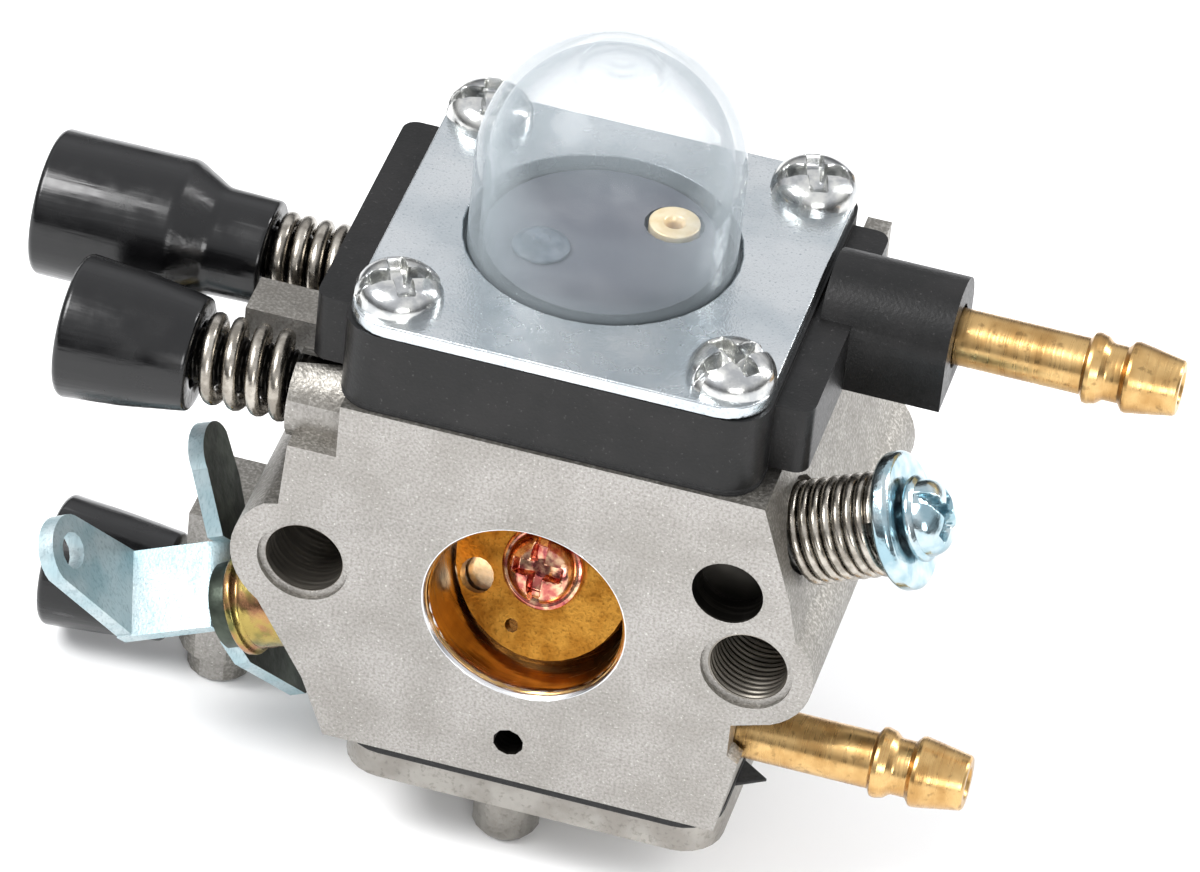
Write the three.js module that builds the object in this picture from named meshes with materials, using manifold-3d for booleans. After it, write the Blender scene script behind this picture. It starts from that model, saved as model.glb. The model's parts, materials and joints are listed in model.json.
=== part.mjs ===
// A small two-stroke diaphragm carburettor: cast body, throttle, metering side with a
// primer bulb on top, fuel pump under a cover below, two mixture needles and an idle screw.
// Millimetres, +Z up. The origin is the centre of the bore on the engine face, +Y runs
// through the bore away from the engine, and +X is the side of the fuel fittings.
import * as THREE from 'three';
import { mergeVertices } from 'three/addons/utils/BufferGeometryUtils.js';
import Module from 'manifold-3d';

const wasm = await Module();
wasm.setup();

// ---- driving dimensions ----
const GAP = 0.3;                    // clear space round a pin, screw or pressed piece
const CUT = 1;                      // how far a cutting tool runs past the face it cuts
const MOUNT_X = 15.5;               // half of the 31 mm spacing of the mounting holes
const MOUNT_HOLE_R = 2.75;
const BODY_TOP = 13.75;
const BODY_LOW = -14.5;
const BODY_DEPTH = 28.25;
const SHEET = 0.25;                 // each gasket and diaphragm
const BORE_R = 6.75;
const VENTURI_R = 5.6;
const REAR_BORE_R = 7.6;
const CENTRE_Y = 14.6;              // middle of the square stack above and below the body

const BASE_LOW = BODY_TOP + 2 * SHEET;
const BASE_TOP = 20;
const BASE_HALF = 14.5;
const WING_HALF = 17.1;
const PLATE_TOP = BASE_TOP + 1;
const SCREW_X = 11.4;
const SCREW_Y = 10.8;
const SCREW_R = 1.5;

const BULB = { x: -0.5, y: 15, r: 9.1, wall: 0.8, shoulder: 27, flange: 10.5 };
const CHAMBER = { x: 0.5, y: 15, r: 9.6, floor: 9.25 };

const SHAFT_TILT = THREE.MathUtils.degToRad(25);   // the shaft rises to the right
const SHAFT_Y = 5.7;
const SHAFT_R = 2.5;
const PLATE_TILT = THREE.MathUtils.degToRad(26);   // throttle plate from square to the bore
const DISC_R = 6.5;
const DISC_THICK = 0.8;

const NEEDLE_Z = 11.4;
const FRONT_NEEDLE_Y = 4.8;
const REAR_NEEDLE_Y = 17.3;
const NEEDLE_FACE_X = -18;          // where the needle springs push on the casting
const STEM_R = 1.9;
const NEEDLE_SPRING_R = 2.6;        // middle of the wire
const NEEDLE_WIRE_R = 0.5;

const LONG_CAP = 16;                // length of the rear needle's cap

const IDLE = { y: 14.6, z: -17.4, postX: -24.6, postR: 3, inner: -23.4, tip: -18.15 };
const BOSS = { x: 14.9, r: 4.05 };
const FITTING = { x: 23.75, y: 17.8, z: 17.8 };
const INLET = { x: 15.5, y: 3.8, z: -8.2 };
const TUBE_R = 1.95;                // brass hose fittings

// Along the throttle shaft, measured from the middle of the bore.
const LEVER_S = -23.85;             // middle of the lever's thickness
const LEVER_THICK = 1.2;
const SHAFT_END_S = 25.2;
const DISC_S = 25.6;                // the washer that holds the return spring
const STRIP = { length: 8.4, width: 6.1, y: -2.9, z: 0.4, bend: 2 };
const TAB = { angle: 1.466, reach: 7.8, across: 4.3, r: 2.5, hole: 1.3 };

// Metering side, inside the body.
const PIN_X = 4.2;
const PIN_Z = 11;
const LEVER_SPRING_X = 1.9;
const NOZZLE_Y = 18.6;
const NEEDLE = { x: 7.4, r: 1.1, top: 11.4 };
const PIN_SCREW = { x: 5.9, y: 19.9 };
const LEVER_PLATE = { low: 11.7, high: 12.3 };

// Purge base.
const FLOOR = { r: 8, top: 20.75 };
const OUTLET = { x: 3.5, y: 18.6, r: 1.75 };
const CHECK = { x: -4.2, y: 12.8, r: 2 };

// Fuel pump side.
const PUMP_LOW = BODY_LOW - 2 * SHEET;
const COVER_LOW = PUMP_LOW - 2.5;
const PUMP_SCREW = { x: 6, y: 20 };

// ---- materials ----
function finish(color, roughness, metalness) {
  return new THREE.MeshStandardMaterial({ color, roughness, metalness });
}

const castAlloy = () => finish(0xb4b1ac, 0.6, 0.8);
const zinc = () => finish(0xc9d3d8, 0.3, 0.9);
const brass = () => finish(0xb98a3c, 0.3, 0.95);
const blackPlastic = () => finish(0x1a1b1c, 0.45, 0);
const steel = () => finish(0x8f8a83, 0.35, 0.9);
const rubber = () => finish(0x26272a, 0.8, 0);

// ---- shaping helpers ----
const X = new THREE.Vector3(1, 0, 0);
const Y = new THREE.Vector3(0, 1, 0);
const Z = new THREE.Vector3(0, 0, 1);
const ROUND = 3;                    // an arc gets twice this many flats
const FINE = 36;                    // flats round a large turned piece
const MEDIUM = 16;
const COARSE = 10;
const DOME_STEPS = 5;
const WIRE_STEPS = 8;               // flats round each turn of a coil
const at = (x, y, z) => new THREE.Vector3(x, y, z);

// A closed three.js geometry becomes a solid: shared vertices merged, empty triangles dropped.
function solidOf(geometry) {
  geometry.deleteAttribute('normal');
  geometry.deleteAttribute('uv');
  const merged = mergeVertices(geometry, 1e-5);
  const corners = merged.index.array;
  const kept = [];
  for (let i = 0; i < corners.length; i += 3) {
    const [a, b, c] = [corners[i], corners[i + 1], corners[i + 2]];
    if (a !== b && b !== c && c !== a) {
      kept.push(a, b, c);
    }
  }
  return new wasm.Manifold(new wasm.Mesh({
    numProp: 3,
    vertProperties: new Float32Array(merged.attributes.position.array),
    triVerts: new Uint32Array(kept),
  }));
}

function box(x0, x1, y0, y1, z0, z1) {
  const geometry = new THREE.BoxGeometry(x1 - x0, y1 - y0, z1 - z0);
  geometry.translate((x0 + x1) / 2, (y0 + y1) / 2, (z0 + z1) / 2);
  return solidOf(geometry);
}

// A profile of [radius, height] pairs turned about an axis that starts at a point.
function turned(profile, from, direction, sides = MEDIUM) {
  const points = profile.map(([radius, height]) => new THREE.Vector2(radius, height));
  const geometry = new THREE.LatheGeometry(points, sides);
  geometry.applyQuaternion(new THREE.Quaternion().setFromUnitVectors(Y, direction));
  geometry.translate(from.x, from.y, from.z);
  return solidOf(geometry);
}

function rod(radius, from, direction, length, sides = MEDIUM) {
  return turned([[0, 0], [radius, 0], [radius, length], [0, length]], from, direction, sides);
}

function ring(inner, outer, from, direction, length, sides = MEDIUM) {
  const profile = [[inner, 0], [outer, 0], [outer, length], [inner, length], [inner, 0]];
  return turned(profile, from, direction, sides);
}

function extruded(shape, depth, curveSegments = ROUND) {
  return new THREE.ExtrudeGeometry(shape, { depth, bevelEnabled: false, curveSegments });
}

// A flat outline in X and Y, thick from z0 to z1.
function slab(shape, z0, z1) {
  const geometry = extruded(shape, z1 - z0);
  geometry.translate(0, 0, z0);
  return solidOf(geometry);
}

// An outline in X and Z, running from y0 to y1.
function bar(shape, y0, y1) {
  const geometry = extruded(shape, y1 - y0, 2 * ROUND);
  geometry.rotateX(Math.PI / 2);
  geometry.translate(0, y1, 0);
  return solidOf(geometry);
}

function roundedRectangle(x0, x1, y0, y1, r) {
  const shape = new THREE.Shape();
  shape.absarc(x1 - r, y0 + r, r, -Math.PI / 2, 0);
  shape.absarc(x1 - r, y1 - r, r, 0, Math.PI / 2);
  shape.absarc(x0 + r, y1 - r, r, Math.PI / 2, Math.PI);
  shape.absarc(x0 + r, y0 + r, r, Math.PI, 1.5 * Math.PI);
  shape.closePath();
  return shape;
}

class Helix extends THREE.Curve {
  constructor(radius, length, turns) {
    super();
    Object.assign(this, { radius, length, turns });
  }

  getPoint(t, target = new THREE.Vector3()) {
    const angle = 2 * Math.PI * this.turns * t;
    return target.set(this.length * t, this.radius * Math.sin(angle), this.radius * Math.cos(angle));
  }

  getLength() {
    return Math.hypot(this.length, 2 * Math.PI * this.radius * this.turns);
  }

  getPointAt(t, target) {
    return this.getPoint(t, target);
  }
}

// A coil spring wound about a direction, from a point, with a plain round wire.
function coil(radius, wire, length, turns, from, direction) {
  const section = new THREE.Shape();
  section.absarc(0, 0, wire, 0, 2 * Math.PI);
  const geometry = new THREE.ExtrudeGeometry(section, {
    steps: Math.round(turns * WIRE_STEPS),
    curveSegments: ROUND,
    bevelEnabled: false,
    extrudePath: new Helix(radius, length, turns),
  });
  geometry.applyQuaternion(new THREE.Quaternion().setFromUnitVectors(X, direction));
  geometry.translate(from.x, from.y, from.z);
  return solidOf(geometry);
}

const joined = (...solids) => solids.reduce((whole, solid) => whole.add(solid));
const cut = (solid, ...tools) => tools.reduce((whole, tool) => whole.subtract(tool), solid);

function piece(name, solid, material, parent) {
  const { vertProperties, triVerts } = solid.getMesh();
  const geometry = new THREE.BufferGeometry();
  geometry.setAttribute('position', new THREE.BufferAttribute(vertProperties, 3));
  geometry.setIndex(new THREE.BufferAttribute(triVerts, 1));
  geometry.computeVertexNormals();
  const mesh = new THREE.Mesh(geometry, material);
  mesh.name = name;
  parent.add(mesh);
  return mesh;
}

// ---- the cast body ----
function bodyOutline() {
  const shape = new THREE.Shape();
  shape.moveTo(-13.1, BODY_LOW);
  shape.lineTo(14.6, BODY_LOW);
  shape.lineTo(15.7, -8.2);
  shape.lineTo(14.9, -7.7);
  shape.lineTo(14.9, -5);
  shape.absarc(MOUNT_X, 0, 4.6, -1.1, 0.85);
  shape.lineTo(17.8, 6.6);
  shape.lineTo(15.4, BODY_TOP);
  shape.lineTo(-13.8, BODY_TOP);
  shape.lineTo(-13.8, 9.5);
  shape.lineTo(-17.2, 9.5);
  shape.lineTo(-17.5, 4.4);
  shape.absarc(-MOUNT_X, 0, 5.1, 2.2, 4.1);
  shape.lineTo(-14.9, -10);
  shape.closePath();
  return shape;
}

// The turned passage through the body: mouth chamfer, throttle bore, venturi, rear flare.
function borePassage() {
  const profile = [[0, -CUT], [BORE_R + 0.5 + CUT, -CUT], [BORE_R + 0.4, 0], [BORE_R, 0.6], [BORE_R, 10.5],
    [VENTURI_R, 14.5], [VENTURI_R, 17.5], [REAR_BORE_R, BODY_DEPTH], [REAR_BORE_R, BODY_DEPTH + CUT],
    [0, BODY_DEPTH + CUT]];
  return turned(profile, at(0, 0, 0), Y, FINE);
}

const shaftDirection = at(Math.cos(SHAFT_TILT), 0, Math.sin(SHAFT_TILT));
const alongShaft = (s) => at(0, SHAFT_Y, 0).addScaledVector(shaftDirection, s);

const screwPlaces = [];
for (const side of [-1, 1]) {
  for (const end of [-1, 1]) {
    screwPlaces.push([side * SCREW_X, CENTRE_Y + end * SCREW_Y]);
  }
}

// The bracket that carries the idle screw: a bridge behind the throttle lever's sweep,
// an arm coming forward, and a round stepped post.
function idleBracket() {
  return joined(
    box(IDLE.postX - IDLE.postR, -13, 18.2, 21.8, BODY_LOW, -10.5),
    box(IDLE.postX - IDLE.postR, IDLE.inner, IDLE.y, 21.8, IDLE.z - 2.5, -10.5),
    rod(IDLE.postR, at(IDLE.postX, IDLE.y, IDLE.z - 3.4), Z, 6, MEDIUM),
    rod(2.3, at(IDLE.postX, IDLE.y, IDLE.z - 5.5), Z, 3, MEDIUM),
  );
}

function bodyCasting() {
  const blank = joined(
    bar(bodyOutline(), 0, BODY_DEPTH),
    rod(4.4, alongShaft(-17.4), shaftDirection, 8),
    rod(4.6, alongShaft(11), shaftDirection, 7.5),
    rod(3.1, at(NEEDLE_FACE_X, FRONT_NEEDLE_Y, NEEDLE_Z - 0.9), X, 6),
    rod(3.4, at(NEEDLE_FACE_X, REAR_NEEDLE_Y, NEEDLE_Z - 1.1), X, 6),
    box(-23, -13, 8.4, 12, 8, 13.4),
    box(14.8, 16.5, 25.4, BODY_DEPTH, 5, 17.9),
    idleBracket(),
  );
  const stemR = STEM_R + GAP;
  const tools = [
    borePassage(),
    rod(SHAFT_R + GAP, alongShaft(-30), shaftDirection, 60),
    rod(3.95, alongShaft(-34), shaftDirection, 16.3),
    rod(3.95, alongShaft(18.5), shaftDirection, 12),
    rod(CHAMBER.r, at(CHAMBER.x, CHAMBER.y, CHAMBER.floor), Z, 10, FINE),
    rod(stemR, at(-30, FRONT_NEEDLE_Y, NEEDLE_Z), X, 16, MEDIUM),
    rod(stemR, at(-30, REAR_NEEDLE_Y, NEEDLE_Z), X, 18.6, MEDIUM),
    rod(1.1, at(-15, FRONT_NEEDLE_Y, NEEDLE_Z), X, 1.85, COARSE),
    rod(1.1, at(-12, REAR_NEEDLE_Y, NEEDLE_Z), X, 1.7, COARSE),
    rod(stemR, at(-30, IDLE.y, IDLE.z), X, 10, MEDIUM),
    rod(2.45, at(13.6, -CUT, 6.1), Y, CUT + 2.5, FINE),
    rod(1.08, at(-0.15, -CUT, -11.2), Y, 12, COARSE),
    rod(1.08, at(-0.15, 9.5, BODY_LOW - CUT), Z, 4.3, COARSE),
    rod(TUBE_R + GAP, at(9, INLET.y, INLET.z), X, 12, MEDIUM),
    rod(0.8, at(10.5, INLET.y, BODY_LOW - CUT), Z, 7.5, COARSE),
    rod(5, at(-4.5, 14, BODY_LOW - CUT), Z, CUT + 0.8, FINE),
    rod(2.8, at(8.5, 12.5, BODY_LOW - CUT), Z, CUT + 1.4, MEDIUM),
    rod(SCREW_R + GAP, at(6, 20, BODY_LOW - CUT), Z, 7, MEDIUM),
    rod(1.5, at(NEEDLE.x, CHAMBER.y, 5), Z, 6, MEDIUM),
    rod(1.6, at(LEVER_SPRING_X, CHAMBER.y, 8.4), Z, 2, MEDIUM),
    rod(1.5 + GAP, at(0, NOZZLE_Y, 4), Z, 7, MEDIUM),
    rod(0.9 + GAP, at(PIN_SCREW.x, PIN_SCREW.y, 7.2), Z, 4, COARSE),
  ];
  for (const side of [-1, 1]) {
    tools.push(rod(MOUNT_HOLE_R, at(side * MOUNT_X, -CUT, 0), Y, BODY_DEPTH + 2 * CUT, FINE));
    tools.push(rod(MOUNT_HOLE_R + 0.45, at(side * MOUNT_X, -CUT, 0), Y, CUT + 0.4, FINE));
  }
  for (const [x, y] of screwPlaces) {
    tools.push(rod(SCREW_R + GAP, at(x, y, 8.6), Z, 10, MEDIUM));
  }
  const saddles = joined(
    box(PIN_X - 1, PIN_X + 1, 10.6, 12.4, CHAMBER.floor - 0.5, 10.2),
    box(PIN_X - 1, PIN_X + 1, 17.6, 19.4, CHAMBER.floor - 0.5, 10.2),
  );
  return cut(blank, ...tools).add(saddles);
}

// ---- metering side ----

function stackOutline() {
  return roundedRectangle(-BASE_HALF, BASE_HALF, CENTRE_Y - 14.3, CENTRE_Y + 13.5, 2.6);
}

function stackSheet(z, holeX, holeY, holeR) {
  const tools = [rod(holeR, at(holeX, holeY, z - CUT), Z, SHEET + 2 * CUT, FINE)];
  for (const [x, y] of screwPlaces) {
    tools.push(rod(SCREW_R + GAP, at(x, y, z - CUT), Z, SHEET + 2 * CUT, COARSE));
  }
  return cut(slab(stackOutline(), z, z + SHEET), ...tools);
}

function diaphragmButton() {
  const profile = [[0, 12.9], [3.4, 12.9], [3.4, 13.3], [1.1, 13.3], [1.1, 14.9], [2.4, 14.9], [2.4, 15.2],
    [0, 15.2]];
  return turned(profile, at(CHAMBER.x, CHAMBER.y, 0), Z, FINE);
}

function meteringLever() {
  const arm = box(-0.8, 8.4, CHAMBER.y - 1, CHAMBER.y + 1, LEVER_PLATE.low, LEVER_PLATE.high);
  const hub = rod(1.15, at(PIN_X, CHAMBER.y - 1.8, PIN_Z), Y, 3.6, MEDIUM);
  return joined(arm, hub).subtract(rod(0.5 + GAP, at(PIN_X, CHAMBER.y - 3, PIN_Z), Y, 6, COARSE));
}

function inletNeedle() {
  const { r, top } = NEEDLE;
  const profile = [[0, 5.6], [0.35, 5.6], [r, 7], [r, top - 0.3], [r - 0.3, top], [0, top]];
  return turned(profile, at(NEEDLE.x, CHAMBER.y, 0), Z, COARSE);
}

function mainNozzle() {
  const profile = [[0.5, 4.6], [1.2, 4.6], [1.5, 5.4], [1.5, 9.1], [0.5, 9.1], [0.5, 4.6]];
  return turned(profile, at(0, NOZZLE_Y, 0), Z, MEDIUM);
}

function pinScrew() {
  const head = rod(1.9, at(PIN_SCREW.x, PIN_SCREW.y, 11.8), Z, 1, MEDIUM);
  const shank = rod(0.9, at(PIN_SCREW.x, PIN_SCREW.y, 7.5), Z, 4.5, COARSE);
  const slot = box(PIN_SCREW.x - 2.5, PIN_SCREW.x + 2.5, PIN_SCREW.y - 0.25, PIN_SCREW.y + 0.25, 12.4, 13);
  return joined(head, shank).subtract(slot);
}

// ---- purge base, plate, bulb ----

function purgeBase() {
  const wings = roundedRectangle(-WING_HALF, WING_HALF, 3.9, 25, 1);
  const boss = joined(
    rod(BOSS.r, at(BOSS.x, FITTING.y, FITTING.z), X, FITTING.x - BOSS.x, FINE),
    box(BOSS.x, FITTING.x, FITTING.y - BOSS.r, FITTING.y + BOSS.r, BASE_LOW, FITTING.z),
  );
  const blank = joined(
    slab(stackOutline(), BASE_LOW, BASE_TOP),
    slab(wings, BASE_LOW, BASE_TOP - 0.6),
    boss.subtract(box(10, 30, 0, 40, BASE_LOW - 2, BASE_LOW)),
  );
  const tools = [
    ring(FLOOR.r, BULB.flange + GAP, at(BULB.x, BULB.y, BASE_TOP - 1), Z, 4, FINE),
    rod(9.6, at(CHAMBER.x, CHAMBER.y, BASE_LOW - CUT), Z, CUT + 1.9, FINE),
    rod(TUBE_R + GAP, at(14.6, FITTING.y, FITTING.z), X, 12, MEDIUM),
    rod(OUTLET.r + GAP, at(OUTLET.x, OUTLET.y, 18), Z, 6, MEDIUM),
    rod(0.9 + GAP, at(CHECK.x, CHECK.y, 18), Z, 6, MEDIUM),
  ];
  for (const [x, y] of screwPlaces) {
    tools.push(rod(SCREW_R + GAP, at(x, y, BASE_LOW - CUT), Z, 12, COARSE));
  }
  const island = rod(FLOOR.r, at(BULB.x, BULB.y, BASE_TOP - 1.5), Z, FLOOR.top - BASE_TOP + 1.5, FINE);
  return cut(joined(blank, island), ...tools);
}

function coverPlate() {
  const outline = roundedRectangle(-14.3, 14.3, 0.3, 28.1, 3);
  const tools = [rod(BULB.r + GAP, at(BULB.x, BULB.y, BASE_TOP - CUT), Z, 3, FINE)];
  for (const [x, y] of screwPlaces) {
    tools.push(rod(SCREW_R + GAP, at(x, y, BASE_TOP - CUT), Z, 3, COARSE));
  }
  return cut(slab(outline, BASE_TOP, PLATE_TOP), ...tools);
}


// An arc of [radius, height] pairs over the top of the bulb, from its wall to the axis.
function domeArc(radius) {
  const arc = [];
  for (let i = 0; i < DOME_STEPS; i += 1) {
    const angle = i * Math.PI / (2 * DOME_STEPS);
    arc.push([radius * Math.cos(angle), BULB.shoulder + radius * Math.sin(angle)]);
  }
  arc.push([0, BULB.shoulder + radius]);
  return arc;
}

function primerBulb() {
  const inner = BULB.r - BULB.wall;
  const low = BASE_TOP - 1;
  const profile = [[inner, low], [BULB.flange, low], [BULB.flange, BASE_TOP - 0.1], [BULB.r, BASE_TOP - 0.1],
    ...domeArc(BULB.r), ...domeArc(inner).reverse(), [inner, low]];
  return turned(profile, at(BULB.x, BULB.y, 0), Z, FINE);
}

function crossHeadScrew(x, y, underHead, direction, shank) {
  const head = [[0, 0], [3, 0], [3, 0.7], [2.5, 1.5], [1.5, 1.9], [0, 2]];
  const from = at(x, y, underHead);
  const back = direction.clone().negate();
  const screw = joined(turned(head, from, direction, MEDIUM), rod(SCREW_R, from, back, shank, COARSE));
  const top = from.clone().addScaledVector(direction, 2);
  const reach = 0.9;
  const slots = [
    box(top.x - 1.8, top.x + 1.8, top.y - 0.4, top.y + 0.4, top.z - reach, top.z + reach),
    box(top.x - 0.4, top.x + 0.4, top.y - 1.8, top.y + 1.8, top.z - reach, top.z + reach),
  ];
  return cut(screw, ...slots);
}

// ---- fittings ----
// A barbed hose fitting pressed in to its shoulder, lying along +X from a point.
function barbedFitting({ x, y, z }, pressedIn) {
  const profile = [[0.9, -pressedIn], [TUBE_R, -pressedIn], [TUBE_R, 8.8], [2.45, 9.2], [2.3, 10.2],
    [TUBE_R, 10.4], [TUBE_R, 11.4], [2.4, 11.8], [2.3, 12.8], [1.85, 15.2], [0.9, 15.3], [0.9, -pressedIn]];
  return turned(profile, at(x, y, z), X, MEDIUM);
}

// ---- fuel pump side ----

function pumpOutline() {
  return roundedRectangle(-12.1, 14.7, 0.5, 27.4, 3);
}

function pumpSheet(z, withTab) {
  const sheet = slab(pumpOutline(), z, z + SHEET);
  const tools = [
    rod(SCREW_R + GAP, at(PUMP_SCREW.x, PUMP_SCREW.y, z - CUT), Z, 3, COARSE),
    rod(1.08, at(-0.15, 9.5, z - CUT), Z, 3, COARSE),
  ];
  if (!withTab) {
    return cut(sheet, ...tools);
  }
  const tab = new THREE.Shape();
  tab.moveTo(14, 5.2);
  tab.lineTo(16.6, 6.9);
  tab.lineTo(14, 8.8);
  tab.closePath();
  return cut(sheet.add(slab(tab, z, z + SHEET)), ...tools);
}

function pumpCover() {
  const blank = joined(
    slab(pumpOutline(), COVER_LOW, PUMP_LOW),
    turned([[0, -5.4], [1.9, -5.4], [2.35, -4.8], [2.35, 1], [0, 1]], at(-0.9, 5.2, COVER_LOW), Z, MEDIUM),
  );
  return cut(
    blank,
    rod(5, at(-4.5, 14, PUMP_LOW - 1.2), Z, 3, FINE),
    rod(SCREW_R + GAP, at(PUMP_SCREW.x, PUMP_SCREW.y, COVER_LOW - CUT), Z, 6, COARSE),
    box(-0.7, 0.5, 8.9, 14, PUMP_LOW - 1.2, PUMP_LOW + CUT),
  );
}

// ---- adjusting screws ----
// A threaded stem with a tapered tip, lying along +X and ending at tipX. Its plain head
// sits inside the cap.
function adjustingStem(headX, tipX, y, z) {
  const length = tipX - headX;
  const profile = [[0, 0], [2.6, 0], [2.6, 3], [STEM_R, 3], [STEM_R, length - 3], [0.5, length],
    [0, length]];
  return turned(profile, at(headX, y, z), X, MEDIUM);
}

// A moulded cap over the head of a screw, open at both ends for the driver and the stem.
function taperedCap(x0, x1, y, z, outer0, outer1) {
  const length = x1 - x0;
  const profile = [[1.7, 0], [outer0 - 0.3, 0], [outer0, 0.3], [outer1, length], [STEM_R + GAP, length],
    [STEM_R + GAP, length - 2], [2.6 + GAP, length - 2.4], [2.6 + GAP, 2], [1.7, 1.6], [1.7, 0]];
  return turned(profile, at(x0, y, z), X, FINE);
}

function longCap(x0, y, z) {
  const profile = [[1.7, 0], [4.8, 0], [5.1, 0.3], [5.1, 9.7], [3.65, 12.2], [3.65, LONG_CAP],
    [STEM_R + GAP, LONG_CAP], [STEM_R + GAP, LONG_CAP - 2], [2.6 + GAP, LONG_CAP - 2.4],
    [2.6 + GAP, 9], [1.7, 8.6], [1.7, 0]];
  return turned(profile, at(x0, y, z), X, FINE);
}

// ---- throttle: local X runs along the shaft, local Y through the bore, local Z upwards ----

function throttleShaft() {
  const start = LEVER_S - LEVER_THICK / 4;
  const shaft = rod(SHAFT_R, at(start, 0, 0), X, SHAFT_END_S - start, FINE);
  const flat = box(-DISC_R - GAP, DISC_R + GAP, -4, DISC_THICK / 2 + GAP, -4, 4);
  const screwHole = rod(1.3 + GAP, at(0, -4, 0), Y, 8, COARSE);
  const screwEnd = rod(1.2 + GAP, at(20, 0, 0), X, 8, COARSE);
  return cut(shaft, turnedAboutShaft(flat), turnedAboutShaft(screwHole), screwEnd);
}

function turnedAboutShaft(solid) {
  return solid.rotate([-THREE.MathUtils.radToDeg(PLATE_TILT), 0, 0]);
}

function throttlePlate() {
  const disc = rod(DISC_R, at(0, -DISC_THICK / 2, 0), Y, DISC_THICK, FINE);
  const tools = [
    rod(1.3 + GAP, at(0, -3, 0), Y, 6, MEDIUM),
    rod(1.25, at(-5.05, -3, 0), Y, 6, MEDIUM),
    rod(0.5, at(-3.2, -3, -3.7), Y, 6, COARSE),
  ];
  return turnedAboutShaft(cut(disc, ...tools));
}

function throttlePlateScrew() {
  const face = -DISC_THICK / 2 - 0.1;
  const profile = [[0, 0], [2.95, 0], [2.95, 0.7], [2.1, 1.3], [0, 1.5]];
  const head = turned(profile, at(0, face, 0), at(0, -1, 0), FINE);
  const shank = rod(1.3, at(0, face - 0.2, 0), Y, 3.4, COARSE);
  const slots = [box(-1.9, 1.9, -3, face - 0.7, -0.4, 0.4), box(-0.4, 0.4, -3, face - 0.7, -3, 3)];
  return turnedAboutShaft(cut(joined(head, shank), ...slots));
}

// The lever's flat outline: hub, upper arm, and a hooked lower arm that stops on the idle screw.
function leverOutline() {
  const shape = new THREE.Shape();
  shape.moveTo(-2.9, 0.4);
  shape.lineTo(1.3, 4.1);
  shape.lineTo(3.2, 9.2);
  shape.absarc(5.4, 9, 2.2, Math.PI, 0.1, true);
  shape.lineTo(6.8, 6);
  shape.lineTo(4.1, 0.6);
  shape.lineTo(3, -2.6);
  shape.lineTo(3.2, -5.4);
  shape.lineTo(4.2, -7.4);
  shape.lineTo(5.8, -8.8);
  shape.lineTo(8.9, -9.9);
  shape.lineTo(10.6, -10.4);
  shape.lineTo(11.3, -11.3);
  shape.lineTo(10.6, -12.3);
  shape.lineTo(3.2, -10.2);
  shape.lineTo(-1.9, -3.6);
  shape.closePath();
  return shape;
}

// The tab at the strip's end: its sides run from the fold to a round end with the cable hole.
function tabOutline() {
  const shape = new THREE.Shape();
  shape.moveTo(0, STRIP.width);
  shape.lineTo(0, 0);
  shape.absarc(TAB.reach, TAB.across, TAB.r, -1.1, 1.6);
  shape.closePath();
  const hole = new THREE.Path();
  hole.absarc(TAB.reach, TAB.across, TAB.hole, 0, 2 * Math.PI, true);
  shape.holes.push(hole);
  return shape;
}

// Sheet metal lever: the flat plate across the shaft, a strip folded out along the shaft
// with a rounded bend, and a tab folded up from the strip's end.
function throttleLever() {
  const flat = extruded(leverOutline(), LEVER_THICK, 2 * ROUND);
  flat.applyMatrix4(new THREE.Matrix4().makeBasis(Y, Z, X));
  flat.translate(LEVER_S - LEVER_THICK / 2, 0, 0);
  const fold = at(0, 4.8, 3.8).normalize();
  const inward = at(0, fold.z, -fold.y);
  const frame = new THREE.Matrix4().makeBasis(at(-1, 0, 0), fold, inward);
  frame.setPosition(at(LEVER_S + LEVER_THICK / 2, STRIP.y, STRIP.z));
  const strip = new THREE.BoxGeometry(STRIP.length, STRIP.width, LEVER_THICK);
  strip.translate(STRIP.length / 2, STRIP.width / 2, LEVER_THICK / 2);
  const tab = extruded(tabOutline(), LEVER_THICK, 2 * ROUND);
  tab.rotateY(TAB.angle);
  tab.translate(STRIP.length - LEVER_THICK, 0, LEVER_THICK / 2);
  const corner = new THREE.BoxGeometry(2 * STRIP.bend, STRIP.width + 0.1, 2 * STRIP.bend);
  corner.translate(0, STRIP.width / 2, 0);
  const rounding = new THREE.CylinderGeometry(STRIP.bend, STRIP.bend, 3 * STRIP.width, FINE);
  rounding.translate(STRIP.bend, STRIP.width / 2, STRIP.bend);
  for (const shape of [strip, tab, corner, rounding]) {
    shape.applyMatrix4(frame);
  }
  const bent = joined(solidOf(flat), solidOf(strip), solidOf(tab));
  const shaftHole = rod(SHAFT_R + GAP, at(LEVER_S - LEVER_THICK / 2, 0, 0), X, 3, MEDIUM);
  return cut(bent, shaftHole, solidOf(corner).subtract(solidOf(rounding)));
}

function springDisc() {
  return ring(1.2 + GAP, 4.65, at(DISC_S, 0, 0), X, 1.25, FINE);
}

function discScrew() {
  const profile = [[0, 21], [1.2, 21], [1.2, 27.1], [2.9, 27.1], [2.9, 27.8], [2.6, 27.8], [2.6, 28.6],
    [1.6, 29.3], [0, 29.4]];
  const screw = turned(profile, at(0, 0, 0), X, MEDIUM);
  return cut(screw, box(28.5, 30, -1.7, 1.7, -0.4, 0.4), box(28.5, 30, -0.4, 0.4, -1.7, 1.7));
}

// ---- assembly ----
const carburetor = new THREE.Group();

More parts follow.
